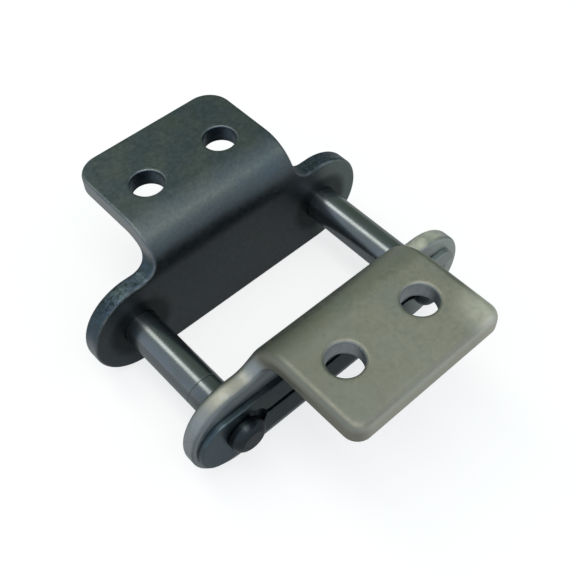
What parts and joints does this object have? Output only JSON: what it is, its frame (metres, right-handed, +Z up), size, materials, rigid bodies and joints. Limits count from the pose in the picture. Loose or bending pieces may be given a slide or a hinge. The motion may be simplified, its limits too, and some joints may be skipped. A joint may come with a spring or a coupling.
{
  "type": "attachment chain link",
  "caption": "Connecting link of a double-pitch conveyor chain with bent attachment lugs on both plates, two pins and a spring clip.",
  "frame": {"origin": "midway between the two pins and between the plates, at the level of the plates' lower edges", "axes": "+X along the chain, +Y from the clip side to the riveted side, +Z up, towards the lugs' bolting faces"},
  "size_m": [0.0546, 0.063, 0.0237],
  "materials": {
    "dark_plate": "heat-darkened and oiled steel",
    "worn_plate": "satin tumbled steel",
    "pin_steel": "ground and polished steel",
    "clip_steel": "satin spring steel"
  },
  "bodies": {
    "root": {"rear_attachment_plate": "dark_plate", "front_attachment_plate": "worn_plate", "left_pin": "pin_steel", "right_pin": "pin_steel", "spring_clip": "clip_steel"}
  },
  "joints": []
}
